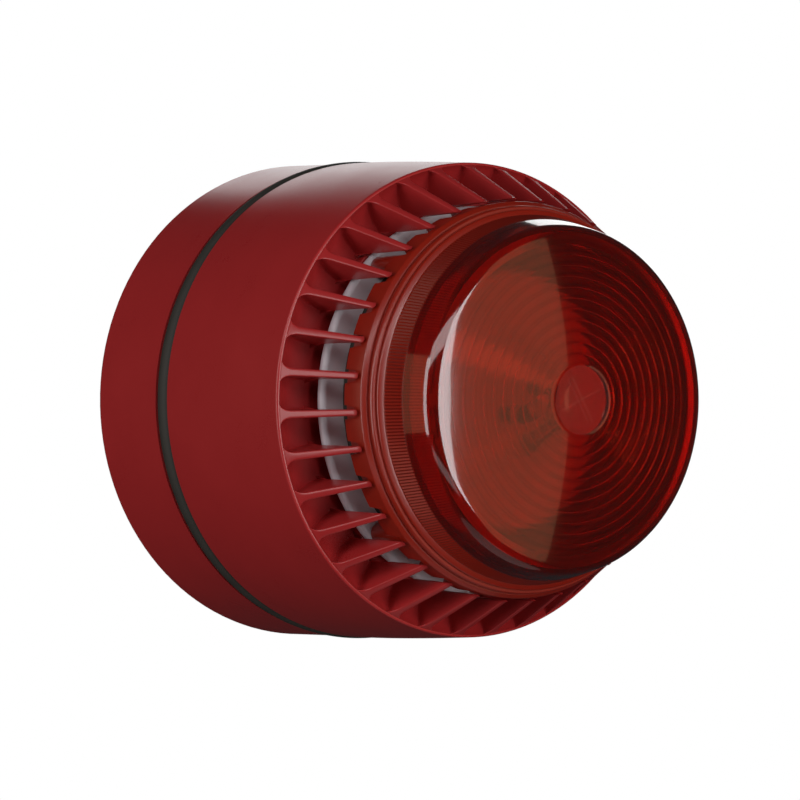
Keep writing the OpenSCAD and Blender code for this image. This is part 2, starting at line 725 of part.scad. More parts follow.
// Outline of the lens in half section, from the skirt over the crown and back inside
function lens_outline() = let (
        bead_a = [skirt_r - 1.8, fin_end_z + 1.6],
        bead_b = [skirt_r - 2.2, fin_end_z + 2.7],
        crown_from = corner_mid[0] + lens_corner * cos(dome_turn),
        inner_lean = lens_t / cos(wall_lean),
        steps = 10)
    concat(
        [[skirt_r, skirt_z], [skirt_r, fin_end_z + 0.2], [skirt_r - 0.7, fin_end_z + 0.9]],
        arc(bead_a, 0.9, -50, 50, 5),
        arc(bead_b, 0.5, -50, 60, 4),
        [[lens_base_r, lens_base_z]],
        arc(corner_mid, lens_corner, wall_lean, dome_turn, 6),
        [for (i = [1:steps]) let (r = crown_from * (1 - i / steps)) [r, dome_z(r)]],
        [[0, crown_z - lens_t - ring_depth / 2], [lens_eye_r, dome_z(lens_eye_r) - lens_t - ring_depth / 2]],
        ring_points(),
        [[corner_r - inner_lean + 0.5, corner_z - 1.4], [lens_base_r - inner_lean, lens_base_z - 0.4],
         [tube_in_r, lens_base_z - 1.6], [tube_in_r, plate_top + seal_h], [tube_out_r, plate_top + seal_h],
         [tube_out_r, fin_end_z - 0.5], [skirt_r - skirt_t, fin_end_z - 0.5], [skirt_r - skirt_t, skirt_z]]);

module lens() color("#b01810", 0.75) face_front() difference() {
    union() {
        rotate_extrude() polygon(lens_outline());
        around(lens_screw_count, boss_at, lens_screw_phase) rod(boss_r, plate_top, fin_end_z);
    }
    around(lens_screw_count, boss_at, lens_screw_phase) rod(screw_hole_r, plate_top - 1, plate_top + 7);
    // gaps between the castellations, each in line with a fin
    for (i = [0:fin_count - 1]) rotate([0, 0, fin_phase + i * 360 / fin_count])
        translate([skirt_r - skirt_t - 0.2, -tooth_gap / 2, skirt_z - 1])
            cube([skirt_t + 1, tooth_gap, tooth_h + 1]);
}

module lens_seal() color("#191917") face_front() ring(tube_out_r, tube_in_r, plate_top, plate_top + seal_h);

module lens_screws() color("silver") face_front()
    around(lens_screw_count, boss_at, lens_screw_phase) screw(floor_under, plate_top + 6 - floor_under);

rear_base();
cable_grommet();
base_gasket();
terminal_block();
terminal_clamps();
terminal_screws();
contact_springs();
head_housing();
rear_cover();
cover_screws();
main_board();
contact_pads();
switch_body();
slider_1();
slider_2();
slider_3();
slider_4();
slider_5();
volume_body();
volume_rotor();
capacitors();
flash_capacitor();
step_up_coil();
control_chips();
small_parts();
driver_pins();
driver_retainer();
driver_screws();
driver_seal();
sounder_disc();
sounder_ceramic();
horn_plate();
beacon_pins();
beacon_board();
beacon_screws();
reflector();
flash_tube();
tube_ends();
trigger_wire();
trigger_coil();
lens_seal();
lens_screws();
lens();
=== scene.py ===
import json
import bpy
import bmesh
import numpy as np
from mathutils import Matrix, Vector


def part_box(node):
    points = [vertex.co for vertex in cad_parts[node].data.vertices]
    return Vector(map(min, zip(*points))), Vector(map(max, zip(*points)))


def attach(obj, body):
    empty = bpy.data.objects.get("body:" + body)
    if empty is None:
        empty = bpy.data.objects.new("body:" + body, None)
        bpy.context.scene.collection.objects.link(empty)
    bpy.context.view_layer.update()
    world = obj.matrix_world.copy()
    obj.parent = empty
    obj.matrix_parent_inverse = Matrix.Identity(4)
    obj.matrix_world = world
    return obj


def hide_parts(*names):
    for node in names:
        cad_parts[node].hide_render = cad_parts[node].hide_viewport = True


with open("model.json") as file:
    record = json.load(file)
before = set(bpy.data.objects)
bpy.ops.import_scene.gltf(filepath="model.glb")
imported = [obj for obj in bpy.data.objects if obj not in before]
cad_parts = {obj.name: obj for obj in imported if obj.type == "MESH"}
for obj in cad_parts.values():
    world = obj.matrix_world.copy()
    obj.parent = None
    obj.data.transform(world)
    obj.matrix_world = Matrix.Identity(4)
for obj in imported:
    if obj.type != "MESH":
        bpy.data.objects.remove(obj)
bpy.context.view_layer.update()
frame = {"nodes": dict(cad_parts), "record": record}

mm = 0.001

# Lengths below are millimetres from the wall, forwards along -Y, and radii from the axis


# Back, front and radius of a node's box
def reach(node):
    low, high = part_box(node)
    return -high[1] / mm, -low[1] / mm, high[0] / mm


gasketBack, gasketFront, gasketRadius = reach("base_gasket")
plateFront = reach("horn_plate")[1]
lensFront, lensRadius = reach("lens")[1:]


# A point at radius r, height z from the wall and angle phi round the axis
def place(r, z, phi):
    r, z, phi = np.broadcast_arrays(r, z, phi)
    return np.stack([r * np.cos(phi), -z, r * np.sin(phi)], axis=-1) * mm


# Quads of an n by m grid, closed round its second way and, if asked, its first
def gridFaces(n, m, closeRows=False):
    rows = np.arange(n if closeRows else n - 1)
    i, j = np.meshgrid(rows, np.arange(m), indexing="ij")
    i2, j2 = (i + 1) % n, (j + 1) % m
    return np.stack([i * m + j, i2 * m + j, i2 * m + j2, i * m + j2], axis=-1).reshape(-1, 4)


def makePiece(name, parts, sharp=35):
    verts = np.concatenate([p.reshape(-1, 3) for p, faces in parts])
    faces, start = [], 0
    for p, f in parts:
        faces += [list(face) for face in (f + start).tolist()]
        start += len(p.reshape(-1, 3))
    mesh = bpy.data.meshes.new(name)
    mesh.from_pydata(verts.tolist(), [], faces)
    piece = bpy.data.objects.new(name, mesh)
    bpy.context.scene.collection.objects.link(piece)
    work = bmesh.new()
    work.from_mesh(mesh)
    bmesh.ops.remove_doubles(work, verts=work.verts, dist=2e-7)
    bmesh.ops.dissolve_degenerate(work, edges=work.edges, dist=1e-8)
    bmesh.ops.recalc_face_normals(work, faces=work.faces)
    for face in work.faces:
        face.smooth = True
    limit = np.radians(sharp)
    for edge in work.edges:
        if len(edge.link_faces) == 2 and edge.calc_face_angle(0) > limit:
            edge.smooth = False
    work.to_mesh(mesh)
    work.free()
    return piece


def arc(centre, radius, first, last, count=7):
    turn = np.radians(np.linspace(first, last, count))
    return np.stack([centre[0] + radius * np.cos(turn), centre[1] + radius * np.sin(turn)], axis=-1)


# Turns a closed outline of (r, z) points about the axis
def turned(outline, around=288):
    outline = np.asarray(outline, float)
    phi = np.linspace(0, 2 * np.pi, around, endpoint=False)
    grid = place(outline[:, 0][:, None], outline[:, 1][:, None], phi[None, :])
    return grid, gridFaces(len(outline), around, closeRows=True)


# A closed peg along the axis at radius ring and angle turn, with rounded ends
def peg(radius, z0, z1, ring=0.0, turn=0.0, around=32, edge=0.15):
    outline = np.concatenate([[[0.0, z0]], arc((radius - edge, z0 + edge), edge, -90, 0, 4),
                              arc((radius - edge, z1 - edge), edge, 0, 90, 4), [[0.0, z1]]])
    phi = np.linspace(0, 2 * np.pi, around, endpoint=False)
    grid = place(outline[:, 0][:, None], outline[:, 1][:, None], phi[None, :])
    shift = place(ring, 0, np.radians(turn))
    return grid + shift, gridFaces(len(outline), around)


class Wire:
    def __init__(self, finish, socket):
        self.finish, self.socket = finish, socket

    def maths(self, operation, other, swap=False):
        pair = [other, self] if swap else [self, other]
        made = self.finish.node("ShaderNodeMath", {"operation": operation}, {0: pair[0], 1: pair[1]})
        return made["Value"]

    def __add__(self, other):
        return self.maths("ADD", other)

    def __sub__(self, other):
        return self.maths("SUBTRACT", other)

    def __mul__(self, other):
        return self.maths("MULTIPLY", other)

    def __truediv__(self, other):
        return self.maths("DIVIDE", other)

    def __rsub__(self, other):
        return self.maths("SUBTRACT", other, swap=True)

    __radd__ = __add__
    __rmul__ = __mul__

    def power(self, other):
        return self.maths("POWER", other)


class Finish:
    def __init__(self, name):
        self.material = bpy.data.materials.new(name)
        self.material.use_nodes = True
        self.tree = self.material.node_tree
        self.shader = self.tree.nodes["Principled BSDF"]
        self.place = self.node("ShaderNodeTexCoord", {}, {})["Object"]

    # Adds a node: settings first, then values or wires on its sockets; returns its outputs by name
    def node(self, kind, settings, sockets):
        made = self.tree.nodes.new(kind)
        for key, value in settings.items():
            if key == "stops":
                ramp = made.color_ramp
                while len(ramp.elements) < len(value):
                    ramp.elements.new(0.5)
                for element, (where, colour) in zip(ramp.elements, value):
                    element.position = where
                    element.color = (*colour, 1.0)
            else:
                setattr(made, key, value)
        for key, value in sockets.items():
            self.join(made.inputs[key], value)
        return {out.name: Wire(self, out) for out in made.outputs}

    def join(self, socket, value):
        if isinstance(value, Wire):
            self.tree.links.new(value.socket, socket)
        elif isinstance(value, tuple) and len(value) == 3 and socket.type == "RGBA":
            socket.default_value = (*value, 1.0)
        else:
            socket.default_value = value

    def set(self, **sockets):
        names = {"colour": "Base Color", "roughness": "Roughness", "metallic": "Metallic",
                 "normal": "Normal", "transmission": "Transmission Weight", "ior": "IOR",
                 "coat": "Coat Weight", "coatRoughness": "Coat Roughness",
                 "specular": "Specular IOR Level"}
        for key, value in sockets.items():
            self.join(self.shader.inputs[names[key]], value)
        return self

    def noise(self, size, detail=3.0, rough=0.55):
        return self.node("ShaderNodeTexNoise", {}, {"Vector": self.place, "Scale": 1 / (size * mm),
                                                    "Detail": detail, "Roughness": rough})["Fac"]

    def blendColours(self, factor, a, b, kind="MIX"):
        mixed = self.node("ShaderNodeMix", {"data_type": "RGBA", "blend_type": kind},
                          {"Factor": factor, 6: a, 7: b})["Result"]
        return Wire(self, mixed.socket.node.outputs[2])

    # 0 at the first value and 1 at the second, smooth between
    def ramp(self, value, first, second):
        if first > second:
            return 1 - self.ramp(value, second, first)
        return self.node("ShaderNodeMapRange", {"interpolation_type": "SMOOTHSTEP"},
                         {"Value": value, "From Min": first, "From Max": second})["Result"]

    def absolute(self, value):
        return self.node("ShaderNodeMath", {"operation": "ABSOLUTE"}, {0: value})["Value"]

    def fraction(self, value):
        return self.node("ShaderNodeMath", {"operation": "FRACT"}, {0: value})["Value"]

    def bump(self, height, depth):
        return self.node("ShaderNodeBump", {}, {"Height": height, "Distance": depth * mm,
                                                "Strength": 1.0})["Normal"]


# A colour given as 0 to 255 display values, in linear light
def shade(r, g, b):
    c = np.array([r, g, b]) / 255
    return tuple(float(x) for x in np.where(c <= 0.04045, c / 12.92, ((c + 0.055) / 1.055) ** 2.4))


def scaled(colour, factor):
    return tuple(min(1.0, c * factor) for c in colour)


# Moulded plastic: a fine spark texture, faint flow marks in the colour, and patchy gloss
def moulded(name, colour, rough, grain=0.22, depth=0.02, variety=0.12):
    f = Finish(name)
    fine = f.noise(grain, 4.0)
    flow = f.noise(9.0, 3.0)
    tone = f.blendColours(flow, scaled(colour, 1 - variety), scaled(colour, 1 + variety))
    f.set(colour=tone, roughness=(flow - 0.5) * 0.1 + (fine - 0.5) * 0.08 + rough,
          normal=f.bump(fine, depth), coat=0.0, coatRoughness=0.2)
    return f.material


# Bare metal: long fine marks across the axis and a little tarnish
def metal(name, colour, rough, tarnish=0.3):
    f = Finish(name)
    stretched = f.node("ShaderNodeMapping", {}, {"Vector": f.place,
                                                 "Scale": (1.0, 9.0, 1.0)})["Vector"]
    marks = f.node("ShaderNodeTexNoise", {}, {"Vector": stretched, "Scale": 2500.0,
                                              "Detail": 2.0})["Fac"]
    dull = f.noise(2.5, 2.0)
    tone = f.blendColours(dull * tarnish, colour, scaled(colour, 0.45))
    f.set(colour=tone, metallic=1.0, roughness=marks * 0.18 + rough, normal=f.bump(marks, 0.004))
    return f.material


colours = {
    "shell": (0.39, 0.022, 0.023),
    "gasket": shade(44, 42, 37),
    "plate": shade(205, 198, 204),
    "lens": (0.74, 0.034, 0.010),
}


def redPlastic(name):
    f = Finish(name)
    fine = f.noise(0.16, 4.0)
    flow = f.noise(11.0, 3.0)
    speck = f.noise(0.9, 2.0)
    tone = f.blendColours(flow, scaled(colours["shell"], 0.93), scaled(colours["shell"], 1.07))
    tone = f.blendColours(speck * 0.10, tone, scaled(colours["shell"], 0.7))
    f.set(colour=tone, roughness=(flow - 0.5) * 0.10 + (fine - 0.5) * 0.10 + 0.30,
          normal=f.bump(fine, 0.008), specular=0.5)
    return f.material


def softRubber(name):
    f = Finish(name)
    fine = f.noise(0.25, 5.0)
    bloom = f.noise(4.0, 3.0)
    tone = f.blendColours(bloom, scaled(colours["gasket"], 0.8), scaled(colours["gasket"], 1.35))
    f.set(colour=tone, roughness=bloom * 0.15 + 0.62, normal=f.bump(fine, 0.03))
    return f.material


# Where the lens's painted shade falls (the crown's rings and the rib rows), and where its clear part
# starts
lensZonesAndPaintedShade = {"ringPitch": 2.05, "crownRadius": 29.2, "ribsFrom": 79.4, "ribsTo": 83.9,
        "faintFrom": 83.6, "faintTo": 88.4, "clearFrom": 83.2}


# Red polycarbonate: clear on the wall and crown, cloudier in the thick flange and skirt.
# The crown's rings carry painted shade, darker at each step, and the plain disc in its middle is
# paler with a cross.
def redLens(name):
    f = Finish(name)
    ripple = f.noise(3.0, 2.0)
    dirt = f.noise(0.5, 3.0)
    parts = f.node("ShaderNodeSeparateXYZ", {}, {"Vector": f.place})
    x, y, z = (parts[key] * (1 / mm) for key in "XYZ")
    height = y * -1.0
    radius = (x * x + z * z).power(0.5)
    eyeRadius = lens["eye"]
    ring = f.fraction((radius - eyeRadius) / lensZonesAndPaintedShade["ringPitch"])
    # Painted shade: each ring is darkest at its two steps and full colour in its middle
    ringShadeGreys = [(0.0, 0.35), (0.16, 0.75), (0.5, 1.0), (0.88, 0.8), (1.0, 0.35)]
    step = f.node("ShaderNodeValToRGB", {"stops": [(at, (grey,) * 3) for at, grey in ringShadeGreys]},
                  {"Fac": ring})["Color"]
    crown = (f.ramp(radius, lensZonesAndPaintedShade["crownRadius"], lensZonesAndPaintedShade["crownRadius"] - 0.6)
             * f.ramp(radius, eyeRadius, eyeRadius + 0.3))
    tone = f.blendColours(ripple, scaled(colours["lens"], 0.9), scaled(colours["lens"], 1.1))
    tone = f.blendColours(crown, tone, f.blendColours(0.5, tone, step, "MULTIPLY"))
    # Painted shade on the rib rows: a dark stripe on each rib, strong on the low rows and weaker on
    # the faint rows
    turn = f.node("ShaderNodeMath", {"operation": "ARCTAN2"}, {0: z, 1: x})["Value"] * (180 / np.pi)
    rib = f.absolute(f.fraction(turn + (360.0 - head["phase"] + 0.25)) - 0.5)
    rib = f.ramp(rib, 0.32, 0.18)
    low = (f.ramp(height, lensZonesAndPaintedShade["ribsFrom"], lensZonesAndPaintedShade["ribsFrom"] + 0.3)
           * f.ramp(height, lensZonesAndPaintedShade["ribsTo"], lensZonesAndPaintedShade["ribsTo"] - 0.4))
    faint = (f.ramp(height, lensZonesAndPaintedShade["faintFrom"], lensZonesAndPaintedShade["faintFrom"] + 0.4)
             * f.ramp(height, lensZonesAndPaintedShade["faintTo"], lensZonesAndPaintedShade["faintTo"] - 1.4))
    tone = f.blendColours(rib * (low * 0.65 + faint * 0.30), tone, scaled(colours["lens"], 0.18))
    eye = f.ramp(radius, eyeRadius, eyeRadius - 0.2)
    tone = f.blendColours(eye * 0.45, tone, (0.85, 0.45, 0.40))
    cross = (f.ramp(f.absolute(x * 0.87 + z * 0.5), 0.35, 0.1)
             + f.ramp(f.absolute(x * 0.4 - z * 0.92), 0.3, 0.1))
    cross = cross * f.ramp(radius, 5.2, 4.0)
    f.set(colour=f.blendColours(cross * 0.25, tone, (0.9, 0.5, 0.45)),
          roughness=dirt * 0.04 + 0.08, transmission=0.95, ior=1.49, coat=1.0,
          coatRoughness=0.01, normal=f.bump(cross, 0.03))
    clear = f.shader
    f.shader = f.tree.nodes.new("ShaderNodeBsdfPrincipled")
    # The cloudy part gets the same painted rib shade on its low rows
    cloudyWithRibShade = f.blendColours(rib * low * 0.5, scaled(colours["lens"], 0.55),
                           scaled(colours["lens"], 0.12))
    f.set(colour=cloudyWithRibShade, roughness=dirt * 0.06 + 0.30, transmission=0.4, ior=1.49,
          coat=0.35, coatRoughness=0.16)
    share = f.ramp(height, lensZonesAndPaintedShade["clearFrom"], lensZonesAndPaintedShade["clearFrom"] + 0.8)
    both = f.tree.nodes.new("ShaderNodeMixShader")
    f.join(both.inputs[0], share)
    f.tree.links.new(f.shader.outputs[0], both.inputs[1])
    f.tree.links.new(clear.outputs[0], both.inputs[2])
    f.tree.links.new(both.outputs[0], f.tree.nodes["Material Output"].inputs["Surface"])
    return f.material


def clearGlass(name):
    f = Finish(name)
    streak = f.noise(1.5, 2.0)
    f.set(colour=(0.92, 0.95, 0.95), roughness=streak * 0.03 + 0.01, transmission=1.0, ior=1.46,
          normal=f.bump(streak, 0.01))
    return f.material


# Solder resist with rows of tracks and pads under it
def circuitBoard(name, colour, track):
    f = Finish(name)
    cells = f.node("ShaderNodeTexVoronoi", {"feature": "F1", "distance": "CHEBYCHEV"},
                   {"Vector": f.place, "Scale": 420.0, "Randomness": 0.6})["Distance"]
    flat = f.node("ShaderNodeMapping", {}, {"Vector": f.place,
                                            "Rotation": (1.5708, 0, 0)})["Vector"]
    lines = f.node("ShaderNodeTexBrick", {"offset": 0.35, "squash": 1.0},
                   {"Vector": flat, "Scale": 260.0, "Mortar Size": 0.03, "Color1": (0, 0, 0),
                    "Color2": (0.1, 0.1, 0.1), "Mortar": (1, 1, 1)})["Color"]
    tone = f.blendColours(lines, colour, track)
    rings = f.node("ShaderNodeValToRGB", {"stops": [(0.0, (1, 1, 1)), (0.12, (0, 0, 0))]},
                   {"Fac": cells})["Color"]
    tone = f.blendColours(rings, tone, shade(196, 190, 170))
    f.set(colour=tone, roughness=f.noise(2.0) * 0.2 + 0.3, normal=f.bump(cells, 0.02))
    return f.material


# Close turns of enamelled wire round the winding's own axis, with painted shade in the grooves
# between turns
def winding(name, colour):
    f = Finish(name)
    turns = f.node("ShaderNodeTexWave", {"wave_type": "BANDS", "bands_direction": "Y"},
                   {"Vector": f.place, "Scale": 900.0, "Distortion": 0.4, "Detail": 1.0})["Fac"]
    # Painted shade: the colour darkens to a third between the turns
    tone = f.blendColours(turns, scaled(colour, 0.35), colour)
    f.set(colour=tone, metallic=0.7, roughness=turns * 0.15 + 0.25, normal=f.bump(turns, 0.06))
    return f.material


def dress(piece, slotName):
    piece.data.materials.clear()
    piece.data.materials.append(finishes[slotName])


slotOf = {row["node"]: row["material_slot"] for row in frame["record"]["subparts"]}


# Hands a finished piece to the frame: what it rides on, what it stands for and its finish
def handOver(piece, body, node):
    dress(piece, slotOf[node])
    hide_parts(node)
    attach(piece, body)
    return piece


gasket = {"proud": 0.25, "bulge": 2.4, "innerRadius": 45.0}


def makeGasket():
    mid = (gasketBack + gasketFront) / 2
    half = (gasketFront - gasketBack) / 2
    swell = np.degrees(np.arcsin(half / gasket["bulge"]))
    outline = np.concatenate([
        arc((gasketRadius - gasket["bulge"], mid), gasket["bulge"], -swell, swell, 12),
        [[gasket["innerRadius"], gasketFront], [gasket["innerRadius"], gasketBack]]])
    return handOver(makePiece("baseGasket", [turned(outline, 240)]), "base", "base_gasket")


head = {
    "back": 26.0, "backRadius": 48.4, "lipRadius": 45.4, "wall": 2.5, "lipHeight": 61.3,
    "lipRound": 0.5,
    "scoop": 6.0, "floor": 58.95, "floorThick": 2.2, "throat": 18.0,
    "fins": 36, "phase": 3.4, "finEndRadius": 37.3, "finEndHeight": 76.0,
    "outerThick": 1.5, "innerThick": 1.1, "corner": 1.2, "footGap": 0.6,
    "finEdge": 0.46, "fillet": 0.8, "rim": 37.0,
}


# Radius of the head's side at a height, leaning in a little faster towards the lip
def sideRadius(z):
    part = np.clip((z - head["back"]) / (head["lipHeight"] - head["back"]), 0, None)
    return head["backRadius"] - (head["backRadius"] - head["lipRadius"]) * part ** 1.25


def scoopStart():
    rise = edgeHeight - head["floor"]
    return edgeRadius - np.sqrt(head["scoop"] ** 2 - (head["scoop"] - rise) ** 2)


edgeRadius = head["lipRadius"] - head["lipRound"]
edgeHeight = head["lipHeight"] + head["lipRound"]
scoopRadius = scoopStart()


# Height of the pocket floor at a radius: flat, then a quarter-round scoop up to the lip
def floorHeight(r):
    over = np.clip(r - scoopRadius, 0, head["scoop"])
    return head["floor"] + head["scoop"] - np.sqrt(head["scoop"] ** 2 - over ** 2)


# Height of the line that the fins' front edges follow
def finFront(r):
    part = (edgeRadius - r) / (edgeRadius - head["finEndRadius"])
    return edgeHeight + (head["finEndHeight"] - edgeHeight) * part


def headOutline():
    chamfer = 0.25
    side = np.linspace(head["back"], head["lipHeight"] - 0.2, 26)
    shell = np.stack([sideRadius(side), side], axis=-1)
    shell[0, 0] -= chamfer
    first = head["back"] + chamfer
    shell = np.insert(shell, 1, [sideRadius(first), first], axis=0)
    scoopTurn = np.degrees(np.arcsin((edgeHeight - head["floor"] - head["scoop"]) / head["scoop"]))
    under = head["floor"] - head["floorThick"]
    back = np.linspace(under - 4, head["back"], 10)
    return np.concatenate([
        shell,
        arc((edgeRadius, head["lipHeight"]), head["lipRound"], 8, 90, 8),
        arc((scoopRadius, head["floor"] + head["scoop"]), head["scoop"], scoopTurn, -90, 16),
        [[30.0, head["floor"]]],
        arc((head["throat"] + 0.6, head["floor"] - 0.6), 0.6, 90, 180, 5),
        [[head["throat"], under], [30.0, under], [scoopRadius + 2.4, under],
         [sideRadius(under - 1) - head["wall"], under - 1.6]],
        np.stack([sideRadius(back) - head["wall"], back], axis=-1)])


# One fin, at stations in from the lip: at each, a closed section of half width against height.
# The foot flares out in a quarter round to meet the floor, the front edge is rounded, and near
# the lip the whole section widens by a quarter round, which is the pocket's corner in plan.
def finGrid():
    t = np.concatenate([np.linspace(0, 0.3, 11), np.linspace(0.34, 1, 18)])
    r = edgeRadius - 0.02 - (edgeRadius - 0.02 - head["finEndRadius"]) * t
    top = finFront(r) - 0.02
    overhang = head["floor"] + 4.7 + head["footGap"]
    footRadius = head["rim"] + head["footGap"]
    hanging = r < footRadius
    bottom = np.where(hanging, overhang, floorHeight(r) - 0.25)
    thick = head["innerThick"] + (head["outerThick"] - head["innerThick"]) * (1 - t)
    outR = edgeRadius - 0.15
    over = np.clip(r - (outR - head["corner"]), 0, head["corner"] - 1e-3)
    flare = head["corner"] - np.sqrt(head["corner"] ** 2 - over ** 2)
    half = thick / 2 + flare
    tall = np.maximum(top - bottom, 0.02)
    edge = np.minimum(head["finEdge"], tall * 0.45)
    fillet = np.where(hanging, -edge, np.minimum(head["fillet"], np.maximum(tall - 0.3, 0.0)))
    q = np.radians(np.linspace(0, 90, 5))
    ys, zs = [], []
    for a in q:  # front edge, from the crest to the side
        ys.append(half - edge + edge * np.sin(a))
        zs.append(top - edge + edge * np.cos(a))
    for step in (0.33, 0.66):
        ys.append(half)
        zs.append(top - edge + (bottom + np.abs(fillet) - top + edge) * step)
    for a in q:  # foot: flared on the floor, rounded where it hangs
        ys.append(half + fillet * (1 - np.cos(a)))
        zs.append(bottom + np.abs(fillet) * (1 - np.sin(a)))
    right = np.stack([np.array(ys), np.array(zs)], axis=-1)          # points down one side
    left = right[::-1] * np.array([-1, 1])
    section = np.concatenate([right, left]).transpose(1, 0, 2)
    # The first and last stations shrink to close the ends
    outer, inner, tip = section[:1], section[-1:], 0.25
    outerMid, mid = (part.mean(axis=1, keepdims=True) for part in (outer, inner))
    first = (outer - outerMid) * 1e-3 + outerMid
    small = np.sign(inner - mid) * np.maximum(np.abs(inner - mid) - tip, 0) + mid
    shut = (inner - mid) * 1e-3 + mid
    section = np.concatenate([first, section[:-1], inner, small, shut])
    r = np.concatenate([r[:1], r[:-1], [r[-1] + tip], [r[-1]], [r[-1]]])
    return r, section


def finParts():
    r, section = finGrid()
    parts = []
    for k in range(head["fins"]):
        turn = np.radians(head["phase"] + k * 360 / head["fins"])
        across, z = section[..., 0], section[..., 1]
        along = np.broadcast_to(r[:, None], across.shape)
        x = along * np.cos(turn) - across * np.sin(turn)
        y = along * np.sin(turn) + across * np.cos(turn)
        parts.append((np.stack([x, -z, y], axis=-1) * mm, gridFaces(*across.shape)))
    return parts


# A lug or other block bent round the axis
def bentBlock(r0, r1, z0, z1, mid, wide, steps=10):
    phi = np.radians(mid) + np.radians(wide) * np.linspace(-0.5, 0.5, steps)
    loop = np.array([[r0, z0], [r1, z0], [r1, z1], [r0, z1]])
    grid = place(loop[None, :, 0], loop[None, :, 1], phi[:, None])
    middle = grid.mean(axis=1, keepdims=True)
    grid = np.concatenate([middle[:1] + (grid[:1] - middle[:1]) * 1e-3, grid,
                           middle[-1:] + (grid[-1:] - middle[-1:]) * 1e-3])
    return grid, gridFaces(len(grid), 4)


def makeHead():
    bossRing, bossTop, screwRing = 38.9, 41.6, 34.6
    under = head["floor"] - head["floorThick"]
    parts = [turned(headOutline(), 360)] + finParts()
    for k in range(4):
        parts.append(peg(3.0, bossTop, under + 0.2, bossRing, 90 * k))
        parts.append(peg(2.6, head["floor"] - 0.2, head["floor"] + plate["gap"], screwRing,
                         45 + 90 * k))
        parts.append(bentBlock(42.6, 46.0, 27.8, 30.2, 20 + 90 * k, 8))
    return handOver(makePiece("sounderHead", parts, 40), "head", "head_housing")


plate = {"gap": 2.5, "thick": 2.2, "rim": 1.1, "bossRing": 20}


def makePlate():
    rim = plate["rim"]
    rear = head["floor"] + plate["gap"]
    front = rear + plate["thick"]
    outline = np.concatenate([
        [[0.0, rear - 2.2], [3, rear - 2], [9, rear - 0.6], [13, rear]],
        arc((head["rim"] - rim, rear + rim), rim, -90, 90, 14), [[0.0, front]]])
    parts = [turned(outline, 288)]
    for k in range(3):
        parts.append(peg(2.4, front - 0.2, plateFront, plate["bossRing"], 30 + 120 * k))
    return handOver(makePiece("hornPlate", parts, 40), "head", "horn_plate")


lens = {
    "skirtThick": 1.5, "around": 720, "toothHeight": 3.3, "notch": 1.5,
    "ribHeight": 4.1, "ribDepth": 0.11, "wall": 2.0, "rings": 11, "ringDepth": 0.7,
    "eye": 6.4, "recess": 0.09, "corner": 3.2, "wallHeight": 13.0, "lean": 2.6,
}


